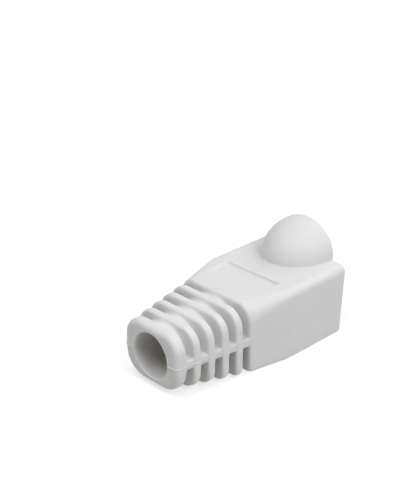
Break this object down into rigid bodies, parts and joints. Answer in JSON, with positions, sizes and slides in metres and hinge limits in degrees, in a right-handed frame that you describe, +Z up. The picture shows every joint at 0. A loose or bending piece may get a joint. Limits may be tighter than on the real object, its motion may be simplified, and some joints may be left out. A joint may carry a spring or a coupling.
{
  "type": "modular plug strain relief boot",
  "caption": "One-piece soft boot for a network patch cord plug: open plug sleeve with a latch dome, tapered ribbed nose and round cable bore.",
  "frame": {"origin": "under the middle of the boot's bounding box, on the plane its belly rests on", "axes": "+Z up from the belly to the latch dome; +Y along the cable axis towards the open mouth, so the nose points to -Y; X across the boot"},
  "size_m": [0.0142, 0.0274, 0.0139],
  "materials": {
    "boot_pvc": "soft PVC with a fine matte moulded skin, pale grey"
  },
  "bodies": {
    "root": {"boot": "boot_pvc"}
  },
  "joints": []
}
